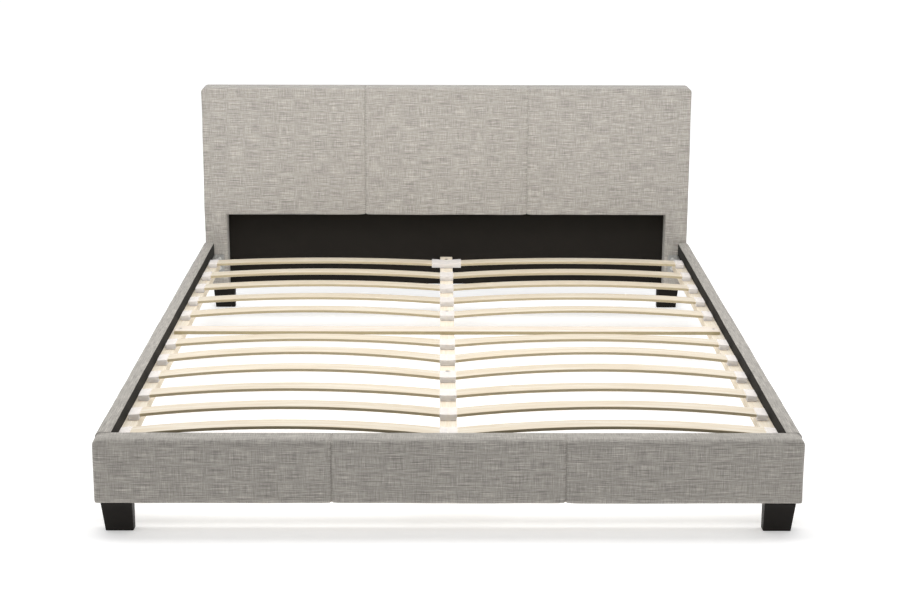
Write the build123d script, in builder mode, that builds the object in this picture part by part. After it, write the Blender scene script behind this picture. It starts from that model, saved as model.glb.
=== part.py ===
from build123d import *
from math import asin, cos, degrees, sin
import os

# An upholstered bed: padded headboard, side rails and footboard around a sprung slat base.
# Millimetres. The origin is on the floor, midway along and across the bed. +Y points to the
# headboard, +X to the right of someone standing at the foot, +Z up.

# ---- driving dimensions -------------------------------------------------------------------
WIDTH = 1610  # the headboard
LENGTH = 2180  # footboard front to headboard back
FOOTBOARD_WIDTH = 1624
RAIL_SPREAD = 1622  # outer face of one side rail to the other's
HEADBOARD_TOP = 745
CUSHION_BOTTOM = 321  # lower edge of the padded part of the headboard
RAIL_TOP = 226
UNDERSIDE = 70  # underside of the headboard and footboard, which is the height of the feet
RAIL_UNDERSIDE = 118  # the side rails are shallower than the footboard
HEADBOARD_THICK = 85
FOOTBOARD_THICK = 55
RAIL_THICK = 36
POST_WIDTH = 75  # upholstered headboard legs, either side of the black panel
RECESS = 60  # how far the black panel lies behind the headboard's front

# ---- upholstery and boards ----------------------------------------------------------------
CLOTH = 3  # fabric with its thin wadding
SIDE_PAD = 8  # padding on sides and tops
HEM = 2  # fabric turned under
FOAM = 20
BACK_LINING = 2
LINING = 1.5
PANEL = 4  # hardboard sheets
FOOT_PAD = 17
RAIL_PAD = 6
JOINT_GAP = 1  # dark line where a rail meets an end board
END_BOARD_EDGE_R = 6  # the front edges of the headboard and footboard
HEADBOARD_CORNER_R = 15
LINING_CORNER_R = 14
RAIL_EDGE_R = 8
TOP_RAIL = 45  # heights of the headboard's cross rails
MIDDLE_RAIL = 60
LOWER_RAIL_Z = (84, 204)
UPRIGHT = 44
FRONT_FOOT_OUTER = 797
REAR_FOOT_OUTER = 784
FRONT_FOOT_BACK = 48  # behind the footboard's front
REAR_FOOT_FRONT = 20  # behind the headboard's front

# ---- slat base ----------------------------------------------------------------------------
LEDGE_TOP = 192
LEDGE_WIDTH = 33
LEDGE_HEIGHT = 25
LEDGE_ENDS = (-1005, 880)
SLAT_WIDTH = 53
SLAT_THICK = 8
SLAT_BOTTOM = 198  # underside of a slat where its end sits in a holder
SLAT_OUTER = 764
SLAT_INNER = 4
ROWS = (803, 629, 467, 303, 135, -178, -335, -494, -654, -811, -965)
CROWNS = (10, 14, 15, 15, 18, 18, 25, 24, 20, 22, 22)  # how high each row of slats bows
BAR_Y = -17
BAR_WIDTH = 57
BAR_THICK = 10
BAR_END_GAP = 9  # between the bar and a rail's lining
BAR_SCREW_IN = 14  # from the bar's end
BEAM_WIDTH = 40
BEAM_HEIGHT = 40
BEAM_ENDS = (-1031, 947)
BEAM_BOLTS = (-1014, 915)
LEG_ROWS = (-413, 222)
LEG_WIDTH = 38
LEG_BOTTOM = 20
LEVELLER_R = 18
LEVELLER_HEIGHT = 8
LEVELLER_STEM = 50
CAP_GAP = 7.5  # between a side holder and the rail's lining
CAP_REACH = 27.5
CENTRE_CAP_HALF = 21
HEAD_CAP_HALF = 47  # the centre holder at the headboard is wider
CAP_FIT = 0.25  # clearance round a slat in its holder

# ---- fasteners ----------------------------------------------------------------------------
BOLT_R = 4
BOLT_HOLE_R = 4.2
SHORT_BOLT = 22
LONG_BOLT = 60
PEG_R = 5
PEG_LENGTH = 12
PEG_HOLE_R = 5.3
BOLT_HEAD_R = 6.5
COUNTERBORE_R = 7.5
BRACKET_THICK = 2.5
BRACKET_RAIL_LEG = 60
BRACKET_END_LEG = 32
HEAD_BRACKET_Z = (126, 186)
FOOT_BRACKET_Z = (122, 164)  # lower, because the slat ledge passes over it

# ---- worked out from the above ------------------------------------------------------------
HALF = WIDTH / 2
FOOT_FRONT = -LENGTH / 2
FOOT_INNER = FOOT_FRONT + FOOTBOARD_THICK
HEAD_BACK = LENGTH / 2
HEAD_FRONT = HEAD_BACK - HEADBOARD_THICK
RAIL_OUTER = RAIL_SPREAD / 2
RAIL_INNER = RAIL_OUTER - RAIL_THICK
RECESS_HALF = HALF - POST_WIDTH
CORE_HALF = HALF - SIDE_PAD
CORE_BOTTOM = UNDERSIDE + HEM
CORE_TOP = HEADBOARD_TOP - SIDE_PAD
RAIL_CORE_TOP = RAIL_TOP - SIDE_PAD
RAIL_CORE_BOTTOM = RAIL_UNDERSIDE + HEM
LINING_FRONT = HEAD_BACK - BACK_LINING
FRAME_FRONT = HEAD_FRONT + CLOTH + FOAM + PANEL
PANEL_FRONT = HEAD_FRONT + RECESS
CAP_BOTTOM = LEDGE_TOP + 3.5
CAP_TOP = SLAT_BOTTOM + SLAT_THICK + 1.5
CAP_HALF_DEPTH = 29.5
BEAM_BOTTOM = LEDGE_TOP - BEAM_HEIGHT
LEDGE_MIDDLE = RAIL_INNER - LEDGE_WIDTH / 2
BAR_HALF = RAIL_INNER - BAR_END_GAP
BAR_SCREW_X = BAR_HALF - BAR_SCREW_IN

os.makedirs("parts", exist_ok=True)


def write(piece, name):
    """Label a finished piece and write it as its own STEP file."""
    piece.part.label = name
    export_step(piece.part, f"parts/{name}.step")


def write_pair(right, name):
    """Write a piece built on the right of the bed, and its mirror image on the left."""
    write(right, f"right_{name}")
    with BuildPart() as left:
        mirror(right.part, about=Plane.YZ)
    write(left, f"left_{name}")


def facing_foot(y):
    """A sketch plane at depth y: local x is X, local y is Z, and it extrudes towards the foot."""
    return Plane.XZ.offset(-y)


def block(x, y, z, mode=Mode.ADD):
    """A box between two limits on each axis."""
    centre = ((x[0] + x[1]) / 2, (y[0] + y[1]) / 2, (z[0] + z[1]) / 2)
    with Locations(centre):
        Box(x[1] - x[0], y[1] - y[0], z[1] - z[0], mode=mode)


def bore(points, radius, depth, turn=(0, 0, 0)):
    """Straight holes centred on points; turn lays the hole's axis from Z onto another axis."""
    with Locations(*points):
        Cylinder(radius, depth, rotation=turn, mode=Mode.SUBTRACT)


ALONG_X = (0, 90, 0)
ALONG_Y = (90, 0, 0)
ALL_LENGTH = 4 * RAIL_THICK  # long enough to pass right through any board

# ---- where the fasteners go ---------------------------------------------------------------
HEAD_BOLT_Z = (141, 171)
FOOT_BOLT_Z = (132, 154)
RAIL_LEG_BOLT = 40  # from the end board's face to a bracket's bolts in the rail
END_LEG_BOLT = 17  # from the rail's face to a bracket's bolts in the end board
FOOT_BOLT_DEPTH = 36  # behind the front of the footboard, or of the headboard
FRONT_FOOT_BOLT = (755, FOOT_FRONT + FOOT_BOLT_DEPTH)
REAR_FOOT_BOLT = (746, HEAD_FRONT + FOOT_BOLT_DEPTH)
FOOT_BOLT_SEAT = 45
BEAM_BOLT_SINK = 9
LEDGE_SCREW_Y = (720, 385, 56, -256, -574, -888)
LEDGE_SCREW_Z = LEDGE_TOP - 17
LONG_SCREW = 50
SHORT_SCREW = 25
SCREW_R = 2.5
SCREW_HOLE_R = 2.6
SCREW_HEAD = 2.6
SCREW_SINK = 3  # depth of the pocket that a screw's head sits in
SINK_R = 5
BEAM_SCREW_Z = (104, 130)
SHELF_THICK = 3


# ---- headboard ----------------------------------------------------------------------------
def make_headboard_cover():
    """Sewn fabric over thin wadding: an arch, whose legs stand either side of the recess."""
    with BuildPart() as cover:
        with BuildSketch(facing_foot(LINING_FRONT)):
            with Locations((0, (HEADBOARD_TOP + UNDERSIDE) / 2)):
                Rectangle(WIDTH, HEADBOARD_TOP - UNDERSIDE)
            fillet(vertices().group_by(Axis.Y)[-1], HEADBOARD_CORNER_R)
            with Locations((0, (CUSHION_BOTTOM + UNDERSIDE) / 2)):
                Rectangle(2 * RECESS_HALF, CUSHION_BOTTOM - UNDERSIDE, mode=Mode.SUBTRACT)
        extrude(amount=HEADBOARD_THICK - BACK_LINING)
        fillet(faces().sort_by(Axis.Y)[0].edges(), END_BOARD_EDGE_R)
        upper = (CUSHION_BOTTOM + CLOTH, CORE_TOP)
        depth = (HEAD_FRONT + CLOTH, PANEL_FRONT)
        block((-CORE_HALF, CORE_HALF), depth, upper, Mode.SUBTRACT)
        for side in (-1, 1):
            inner, outer = side * (RECESS_HALF + CLOTH), side * CORE_HALF
            leg = (min(inner, outer), max(inner, outer))
            block(leg, depth, (CORE_BOTTOM, upper[0]), Mode.SUBTRACT)
        behind = (PANEL_FRONT, LINING_FRONT)
        block((-CORE_HALF, CORE_HALF), behind, (CORE_BOTTOM, CORE_TOP), Mode.SUBTRACT)
        end_x = RAIL_INNER - END_LEG_BOLT
        bolts = [(s * end_x, HEAD_FRONT, z) for s in (-1, 1) for z in HEAD_BOLT_Z]
        bore(bolts, BOLT_HOLE_R, 2 * CLOTH, ALONG_Y)
        feet = [(s * REAR_FOOT_BOLT[0], REAR_FOOT_BOLT[1], UNDERSIDE) for s in (-1, 1)]
        bore(feet, BOLT_HOLE_R, 3 * HEM)
    write(cover, "headboard_cover")


def make_headboard_filling():
    """Foam slab, the hardboard sheet behind it, the black panel and the back lining."""
    upper = (CUSHION_BOTTOM + CLOTH, CORE_TOP)
    with BuildPart() as foam:
        depth = (HEAD_FRONT + CLOTH, HEAD_FRONT + CLOTH + FOAM)
        block((-CORE_HALF, CORE_HALF), depth, upper)
    write(foam, "headboard_foam")
    with BuildPart() as board:
        depth = (HEAD_FRONT + CLOTH + FOAM, FRAME_FRONT)
        block((-CORE_HALF, CORE_HALF), depth, upper)
    write(board, "headboard_front_board")
    post_inner = RECESS_HALF + CLOTH + 2
    with BuildPart() as panel:
        depth = (PANEL_FRONT, PANEL_FRONT + PANEL)
        block((-post_inner, post_inner), depth, (CORE_BOTTOM, upper[0]))
        bore([(0, PANEL_FRONT, z) for z in BEAM_SCREW_Z], SCREW_HOLE_R, 3 * PANEL, ALONG_Y)
    write(panel, "headboard_black_panel")
    with BuildPart() as lining:
        depth = (LINING_FRONT, HEAD_BACK)
        block((-HALF + HEM, HALF - HEM), depth, (UNDERSIDE + 1, HEADBOARD_TOP - HEM))
        fillet(edges().filter_by(Axis.Y).group_by(Axis.Z)[-1], LINING_CORNER_R)
    write(lining, "headboard_back_lining")


def make_headboard_frame():
    """Timber posts, notched for the board and foam, and the cross rails between them."""
    post_inner = RECESS_HALF + CLOTH + 2
    lower_front = HEAD_FRONT + CLOTH
    notch = CUSHION_BOTTOM + CLOTH
    with BuildPart() as post:
        block((post_inner, CORE_HALF), (FRAME_FRONT, LINING_FRONT), (CORE_BOTTOM, CORE_TOP))
        block((post_inner, CORE_HALF), (lower_front, FRAME_FRONT), (CORE_BOTTOM, notch))
        bolts = [(RAIL_INNER - END_LEG_BOLT, lower_front, z) for z in HEAD_BOLT_Z]
        bore(bolts, BOLT_HOLE_R, 2 * SHORT_BOLT, ALONG_Y)
        foot_hole = LONG_BOLT - (CORE_BOTTOM - FOOT_BOLT_SEAT) + 2
        bore([(*REAR_FOOT_BOLT, CORE_BOTTOM)], BOLT_HOLE_R, 2 * foot_hole)
    write_pair(post, "headboard_post")

    rail_depth = (FRAME_FRONT, LINING_FRONT)
    with BuildPart() as rails:
        block((-post_inner, post_inner), rail_depth, (CORE_TOP - TOP_RAIL, CORE_TOP))
        block((-post_inner, post_inner), rail_depth, (notch, notch + MIDDLE_RAIL))
        lower_depth = (PANEL_FRONT + PANEL, LINING_FRONT)
        block((-post_inner, post_inner), lower_depth, LOWER_RAIL_Z)
        upright_height = (notch + MIDDLE_RAIL, CORE_TOP - TOP_RAIL)
        upright_depth = (FRAME_FRONT, FRAME_FRONT + UPRIGHT)
        for x in (-WIDTH / 6, WIDTH / 6):
            block((x - UPRIGHT / 2, x + UPRIGHT / 2), upright_depth, upright_height)
        bore([(0, LINING_FRONT, z) for z in BEAM_SCREW_Z], SCREW_HOLE_R, ALL_LENGTH, ALONG_Y)
    write(rails, "headboard_cross_rails")


# ---- side rails ---------------------------------------------------------------------------
def rail_bolt_points():
    """Where the corner brackets are bolted into the right-hand rail's inner face."""
    head = [(RAIL_INNER, HEAD_FRONT - RAIL_LEG_BOLT, z) for z in HEAD_BOLT_Z]
    foot = [(RAIL_INNER, FOOT_INNER + RAIL_LEG_BOLT, z) for z in FOOT_BOLT_Z]
    return head + foot


def make_side_rails():
    """Board, wrapped in padded fabric outside and on top, and lined black on the inside."""
    length = (FOOT_INNER + JOINT_GAP, HEAD_FRONT)
    core_outer = RAIL_OUTER - RAIL_PAD
    lining_outer = RAIL_INNER + LINING
    screw_points = [(RAIL_INNER, y, LEDGE_SCREW_Z) for y in LEDGE_SCREW_Y]
    with BuildPart() as core:
        block((lining_outer, core_outer), length, (RAIL_CORE_BOTTOM, RAIL_CORE_TOP))
        bore(rail_bolt_points(), BOLT_HOLE_R, 2 * SHORT_BOLT, ALONG_X)
        bore(screw_points, SCREW_HOLE_R, 2 * (LONG_SCREW - LEDGE_WIDTH + 1), ALONG_X)
    write_pair(core, "rail_core")

    with BuildPart() as cover:
        block((RAIL_INNER, RAIL_OUTER), length, (RAIL_UNDERSIDE, RAIL_TOP))
        fillet(edges().filter_by(Axis.Y).group_by(Axis.Z)[-1], RAIL_EDGE_R)
        fillet(edges().filter_by(Axis.Y).group_by(Axis.Z)[0].sort_by(Axis.X)[-1], RAIL_PAD - 1)
        hollow = (RAIL_INNER - 1, core_outer)
        block(hollow, length, (RAIL_CORE_BOTTOM, RAIL_CORE_TOP), Mode.SUBTRACT)
    write_pair(cover, "rail_cover")

    with BuildPart() as lining:
        block((RAIL_INNER, lining_outer), length, (RAIL_CORE_BOTTOM, RAIL_CORE_TOP))
        bore(rail_bolt_points(), BOLT_HOLE_R, 4 * LINING, ALONG_X)
        bore(screw_points, SCREW_HOLE_R, 4 * LINING, ALONG_X)
    write_pair(lining, "rail_lining")


# ---- footboard ----------------------------------------------------------------------------
def make_footboard():
    """Timber core, padded fabric on the front, ends and top, and a black inner lining."""
    half = FOOTBOARD_WIDTH / 2
    core_back = FOOT_INNER - LINING
    core_depth = (FOOT_FRONT + FOOT_PAD, core_back)
    with BuildPart() as cover:
        with BuildSketch(facing_foot(FOOT_INNER)):
            with Locations((0, (RAIL_TOP + UNDERSIDE) / 2)):
                Rectangle(FOOTBOARD_WIDTH, RAIL_TOP - UNDERSIDE)
            fillet(vertices().group_by(Axis.Y)[-1], 16)
            fillet(vertices().group_by(Axis.Y)[0], 7)
        extrude(amount=FOOTBOARD_THICK)
        fillet(faces().sort_by(Axis.Y)[0].edges(), END_BOARD_EDGE_R)
        hollow_depth = (core_depth[0], FOOT_INNER + 1)
        hollow_height = (CORE_BOTTOM, RAIL_CORE_TOP)
        block((-CORE_HALF, CORE_HALF), hollow_depth, hollow_height, Mode.SUBTRACT)
        feet = [(s * FRONT_FOOT_BOLT[0], FRONT_FOOT_BOLT[1], UNDERSIDE) for s in (-1, 1)]
        bore(feet, BOLT_HOLE_R, 3 * HEM)
    write(cover, "footboard_cover")

    end_x = RAIL_INNER - END_LEG_BOLT
    bolts = [(s * end_x, FOOT_INNER, z) for s in (-1, 1) for z in FOOT_BOLT_Z]
    screws = [(0, FOOT_INNER, z) for z in BEAM_SCREW_Z]
    with BuildPart() as core:
        block((-CORE_HALF, CORE_HALF), core_depth, (CORE_BOTTOM, RAIL_CORE_TOP))
        bore(bolts, BOLT_HOLE_R, 2 * SHORT_BOLT, ALONG_Y)
        bore(screws, SCREW_HOLE_R, 2 * SHORT_SCREW, ALONG_Y)
        foot_hole = LONG_BOLT - (CORE_BOTTOM - FOOT_BOLT_SEAT) + 2
        feet = [(s * FRONT_FOOT_BOLT[0], FRONT_FOOT_BOLT[1], CORE_BOTTOM) for s in (-1, 1)]
        bore(feet, BOLT_HOLE_R, 2 * foot_hole)
    write(core, "footboard_core")

    with BuildPart() as lining:
        block((-CORE_HALF, CORE_HALF), (core_back, FOOT_INNER), (CORE_BOTTOM, RAIL_CORE_TOP))
        bore(bolts, BOLT_HOLE_R, 4 * LINING, ALONG_Y)
        bore(screws, SCREW_HOLE_R, 4 * LINING, ALONG_Y)
    write(lining, "footboard_lining")


# ---- feet ---------------------------------------------------------------------------------
def make_foot(outer, bolt, flat_y, towards, name):
    """A tapered foot: upright towards the bed's middle and on flat_y, sloping on the other two.

    towards is -1 when the foot slopes on its footboard side, and 1 on its headboard side.
    """
    top_width, bottom_width = 72, 65
    top_depth, bottom_depth = 40, 28
    inner = outer - top_width
    with BuildPart() as foot:
        for z, width, depth in ((0, bottom_width, bottom_depth), (UNDERSIDE, top_width, top_depth)):
            with BuildSketch(Plane.XY.offset(z)):
                with Locations((inner + width / 2, flat_y + towards * depth / 2)):
                    Rectangle(width, depth)
        loft()
        fillet(edges().filter_by(lambda edge: abs(edge.tangent_at(0.5).Z) > 0.5), 3)
        chamfer(faces().sort_by(Axis.Z)[0].edges(), 1)
        bore([(*bolt, UNDERSIDE / 2)], BOLT_HOLE_R, 2 * UNDERSIDE)
        bore([(*bolt, 0)], COUNTERBORE_R, 2 * FOOT_BOLT_SEAT)
    write_pair(foot, name)


def make_feet():
    """Four identical tapered feet, handed for their corners."""
    make_foot(FRONT_FOOT_OUTER, FRONT_FOOT_BOLT, FOOT_FRONT + FRONT_FOOT_BACK, -1, "front_foot")
    make_foot(REAR_FOOT_OUTER, REAR_FOOT_BOLT, HEAD_FRONT + REAR_FOOT_FRONT, 1, "rear_foot")


# ---- slat base ----------------------------------------------------------------------------
def make_ledges():
    """Battens screwed along the inside of the side rails to carry the slats."""
    inner = RAIL_INNER - LEDGE_WIDTH
    with BuildPart() as ledge:
        block((inner, RAIL_INNER), LEDGE_ENDS, (LEDGE_TOP - LEDGE_HEIGHT, LEDGE_TOP))
        fillet(edges().filter_by(Axis.Y).group_by(Axis.X)[0], 1.5)
        pegs = [(LEDGE_MIDDLE, y, LEDGE_TOP) for y in ROWS]
        bore(pegs, PEG_HOLE_R, 2 * (PEG_LENGTH + 1))
        bore([(BAR_SCREW_X, BAR_Y, LEDGE_TOP)], SCREW_HOLE_R, 2 * (SHORT_SCREW - BAR_THICK + 1))
        screws = [(inner, y, LEDGE_SCREW_Z) for y in LEDGE_SCREW_Y]
        bore(screws, SCREW_HOLE_R, ALL_LENGTH, ALONG_X)
        bore(screws, SINK_R, 2 * SCREW_SINK, ALONG_X)
    write_pair(ledge, "slat_ledge")


def make_centre_beam():
    """Timber beam under the middle of the bed, bolted down through its top face."""
    with BuildPart() as beam:
        block((-BEAM_WIDTH / 2, BEAM_WIDTH / 2), BEAM_ENDS, (BEAM_BOTTOM, LEDGE_TOP))
        fillet(edges().filter_by(Axis.Y).group_by(Axis.Z)[-1], 1.5)
        bolts = [(0, y, LEDGE_TOP) for y in (*BEAM_BOLTS, *LEG_ROWS)]
        bore(bolts, BOLT_HOLE_R, 3 * BEAM_HEIGHT)
        bore(bolts, COUNTERBORE_R, 2 * BEAM_BOLT_SINK)
        bore([(0, y, LEDGE_TOP) for y in ROWS], PEG_HOLE_R, 2 * (PEG_LENGTH + 1))
    write(beam, "centre_beam")


def make_cross_bar():
    """Flat bar across the whole bed at its middle, over the beam and screwed to the ledges."""
    with BuildPart() as bar:
        depth = (BAR_Y - BAR_WIDTH / 2, BAR_Y + BAR_WIDTH / 2)
        block((-BAR_HALF, BAR_HALF), depth, (LEDGE_TOP, LEDGE_TOP + BAR_THICK))
        fillet(edges().filter_by(Axis.X), 1.5)
        ends = [(s * BAR_SCREW_X, BAR_Y, LEDGE_TOP) for s in (-1, 1)]
        tops = [(x, y, z + BAR_THICK) for x, y, z in ends]
        bore(ends, SCREW_HOLE_R, 3 * BAR_THICK)
        bore(tops, SINK_R, 2 * SCREW_SINK)
    write(bar, "cross_bar")


def slat_solid(crown, grow=0.0):
    """A right-hand slat at y = 0, bowed up by crown; grow makes it larger all round."""
    middle = (SLAT_INNER + SLAT_OUTER) / 2
    reach = (SLAT_OUTER - SLAT_INNER) / 2
    radius = (reach**2 + crown**2) / (2 * crown)
    centre = (middle, 0, SLAT_BOTTOM + SLAT_THICK / 2 + crown - radius)
    half_turn = asin(reach / radius) + grow / radius
    along = (cos(half_turn), 0, sin(half_turn))
    with BuildPart() as slat:
        with BuildSketch(Plane(origin=centre, x_dir=(0, 1, 0), z_dir=along)):
            with Locations((0, radius)):
                RectangleRounded(SLAT_WIDTH + 2 * grow, SLAT_THICK + 2 * grow, 1.5)
        revolve(axis=Axis(centre, (0, 1, 0)), revolution_arc=degrees(2 * half_turn))
    return slat.part


def make_slats():
    """Bent plywood slats, in two columns."""
    for row, (y, crown) in enumerate(zip(ROWS, CROWNS), start=1):
        with BuildPart() as slat:
            with Locations((0, y, 0)):
                add(slat_solid(crown))
        write_pair(slat, f"slat_{row:02d}")


def side_holder(crown):
    """A right-hand end cap at y = 0, on a base and peg that fit the ledge."""
    outer = RAIL_INNER - CAP_GAP
    inner = outer - CAP_REACH
    with BuildPart() as holder:
        with BuildSketch(Plane.XZ):
            with BuildLine():
                top = ((outer, CAP_TOP), (inner, CAP_TOP + 2))
                Polyline((inner, CAP_BOTTOM), (outer, CAP_BOTTOM), *top, close=True)
            make_face()
        extrude(amount=CAP_HALF_DEPTH, both=True)
        fillet(edges().filter_by(Axis.Y).group_by(Axis.Z)[-2:], 1)
        fillet(edges().filter_by(Axis.Z), 3)
        block((inner + 3, outer - 3), (-25, 25), (LEDGE_TOP, CAP_BOTTOM))
        with Locations((LEDGE_MIDDLE, 0, LEDGE_TOP - PEG_LENGTH / 2)):
            Cylinder(PEG_R, PEG_LENGTH)
        add(slat_solid(crown, grow=CAP_FIT), mode=Mode.SUBTRACT)
    return holder.part


def centre_holder(crown, half):
    """A double holder at y = 0 over the beam, which takes the inner ends of two slats."""
    rise = CAP_TOP + half * 0.08
    with BuildPart() as holder:
        with BuildSketch(Plane.XZ):
            with BuildLine():
                top = ((half, rise), (0, CAP_TOP), (-half, rise))
                Polyline((-half, CAP_BOTTOM), (half, CAP_BOTTOM), *top, close=True)
            make_face()
        extrude(amount=CAP_HALF_DEPTH, both=True)
        fillet(edges().filter_by(Axis.Z), 3)
        block((-BEAM_WIDTH / 2 + 1, BEAM_WIDTH / 2 - 1), (-25, 25), (LEDGE_TOP, CAP_BOTTOM))
        with Locations((0, 0, LEDGE_TOP - PEG_LENGTH / 2)):
            Cylinder(PEG_R, PEG_LENGTH)
        pocket = slat_solid(crown, grow=CAP_FIT)
        add(pocket, mode=Mode.SUBTRACT)
        add(mirror(pocket, about=Plane.YZ, mode=Mode.PRIVATE), mode=Mode.SUBTRACT)
    return holder.part


def make_slat_holders():
    """Plastic caps on the ledges and double caps on the beam; the head-end one is wider."""
    with BuildPart() as side:
        for y, crown in zip(ROWS, CROWNS):
            with Locations((0, y, 0)):
                add(side_holder(crown))
    write_pair(side, "slat_holders")
    with BuildPart() as centre:
        for y, crown in zip(ROWS, CROWNS):
            half = HEAD_CAP_HALF if y == ROWS[0] else CENTRE_CAP_HALF
            with Locations((0, y, 0)):
                add(centre_holder(crown, half))
    write(centre, "centre_slat_holders")


# ---- centre legs --------------------------------------------------------------------------
def make_centre_legs():
    """Square legs under the beam, each with a screw-in levelling foot."""
    for name, y in zip(("foot_end", "head_end"), LEG_ROWS):
        with BuildPart() as leg:
            half = LEG_WIDTH / 2
            block((-half, half), (y - half, y + half), (LEG_BOTTOM, BEAM_BOTTOM))
            chamfer(edges().filter_by(Axis.Z), 2)
            bore([(0, y, BEAM_BOTTOM)], BOLT_HOLE_R, LONG_BOLT)
            bore([(0, y, LEG_BOTTOM)], BOLT_HOLE_R + 0.2, 2 * (LEVELLER_STEM + 4))
        write(leg, f"{name}_centre_leg")
        with BuildPart() as leveller:
            with BuildSketch(Plane.XY):
                with Locations((0, y)):
                    Circle(LEVELLER_R)
            extrude(amount=LEVELLER_HEIGHT)
            fillet(edges().group_by(Axis.Z)[-1], 3)
            chamfer(edges().group_by(Axis.Z)[0], 1)
            with Locations((0, y, LEVELLER_HEIGHT + LEVELLER_STEM / 2)):
                Cylinder(BOLT_R, LEVELLER_STEM)
        write(leveller, f"{name}_levelling_foot")


# ---- brackets and fasteners ---------------------------------------------------------------
def make_corner_brackets():
    """Pressed steel angles in the four inner corners."""
    x = RAIL_INNER
    with BuildPart() as right:
        corners = ((HEAD_FRONT, -1, HEAD_BRACKET_Z), (FOOT_INNER, 1, FOOT_BRACKET_Z))
        for face, towards, height in corners:
            along = sorted((face, face + towards * BRACKET_RAIL_LEG))
            against = sorted((face, face + towards * BRACKET_THICK))
            block((x - BRACKET_THICK, x), along, height)
            block((x - BRACKET_END_LEG, x), against, height)
        bore(rail_bolt_points(), BOLT_HOLE_R, 4 * BRACKET_THICK, ALONG_X)
        ends = [(x - END_LEG_BOLT, HEAD_FRONT, z) for z in HEAD_BOLT_Z]
        ends += [(x - END_LEG_BOLT, FOOT_INNER, z) for z in FOOT_BOLT_Z]
        bore(ends, BOLT_HOLE_R, 4 * BRACKET_THICK, ALONG_Y)
    with BuildPart() as brackets:
        add(right.part)
        mirror(right.part, about=Plane.YZ)
    write(brackets, "corner_brackets")


def make_beam_bracket(face, towards, reach, bolt, name):
    """A shelf under one end of the beam, on a leg screwed to the end board, with a gusset."""
    across = (-18, 18)
    top = BEAM_BOTTOM
    under = top - SHELF_THICK
    leg_bottom = top - 60
    nut_height = 8
    gusset = ((0, 0), (0, -9), (20, 0))
    tip = face + towards * reach
    root = face + towards * SHELF_THICK
    with BuildPart() as bracket:
        block(across, sorted((face, tip)), (under, top))
        block(across, sorted((face, root)), (leg_bottom, top))
        with BuildSketch(Plane.YZ):
            with BuildLine():
                Polyline(*[(root + towards * y, under + z) for y, z in gusset], close=True)
            make_face()
        extrude(amount=SHELF_THICK / 2, both=True)
        with Locations((0, bolt, under - nut_height / 2)):
            Cylinder(COUNTERBORE_R - 0.5, nut_height)
        bore([(0, bolt, top)], BOLT_HOLE_R, 4 * nut_height)
        bore([(0, face, z) for z in BEAM_SCREW_Z], SCREW_HOLE_R, 4 * SHELF_THICK, ALONG_Y)
    write(bracket, name)


def bolt_solid(length, head_height):
    """A bolt whose head sits on z = 0 and whose shank hangs below."""
    with BuildPart() as bolt:
        with Locations((0, 0, -length / 2)):
            Cylinder(BOLT_R, length)
        with Locations((0, 0, head_height / 2)):
            Cylinder(BOLT_HEAD_R, head_height)
        fillet(edges().group_by(Axis.Z)[-1], 1)
        with BuildSketch(Plane.XY.offset(head_height)):
            RegularPolygon(3, 6)
        extrude(amount=-head_height * 0.6, mode=Mode.SUBTRACT)
    return bolt.part


def screw_solid(length):
    """A pan-head wood screw whose head sits on z = 0 and whose shank hangs below."""
    with BuildPart() as screw:
        with Locations((0, 0, -length / 2)):
            Cylinder(SCREW_R, length)
        with Locations((0, 0, SCREW_HEAD / 2)):
            Cylinder(SINK_R - 0.2, SCREW_HEAD)
        fillet(edges().group_by(Axis.Z)[-1], 1)
        with BuildSketch(Plane.XY.offset(SCREW_HEAD)):
            Rectangle(5, 1.2)
            Rectangle(1.2, 5)
        extrude(amount=-1.4, mode=Mode.SUBTRACT)
    return screw.part


def pointing(origin, outward):
    """A plane at origin whose normal is the way a fastener's head faces."""
    return Plane(origin=origin, z_dir=outward)


def make_bolts():
    """Short bolts hold the corner brackets; long bolts hold the beam, its legs and the feet."""
    short = bolt_solid(SHORT_BOLT, 5)
    planes = []
    for side in (-1, 1):
        for x, y, z in rail_bolt_points():
            planes.append(pointing((side * (x - BRACKET_THICK), y, z), (-side, 0, 0)))
        x = side * (RAIL_INNER - END_LEG_BOLT)
        for z in HEAD_BOLT_Z:
            planes.append(pointing((x, HEAD_FRONT - BRACKET_THICK, z), (0, -1, 0)))
        for z in FOOT_BOLT_Z:
            planes.append(pointing((x, FOOT_INNER + BRACKET_THICK, z), (0, 1, 0)))
    with BuildPart() as bracket_bolts:
        with Locations(*planes):
            add(short)
    write(bracket_bolts, "bracket_bolts")

    long = bolt_solid(LONG_BOLT, 8)
    seat = LEDGE_TOP - BEAM_BOLT_SINK
    planes = [pointing((0, y, seat), (0, 0, 1)) for y in (*BEAM_BOLTS, *LEG_ROWS)]
    for side in (-1, 1):
        for x, y in (FRONT_FOOT_BOLT, REAR_FOOT_BOLT):
            planes.append(pointing((side * x, y, FOOT_BOLT_SEAT), (0, 0, -1)))
    with BuildPart() as frame_bolts:
        with Locations(*planes):
            add(long)
    write(frame_bolts, "frame_bolts")


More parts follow.
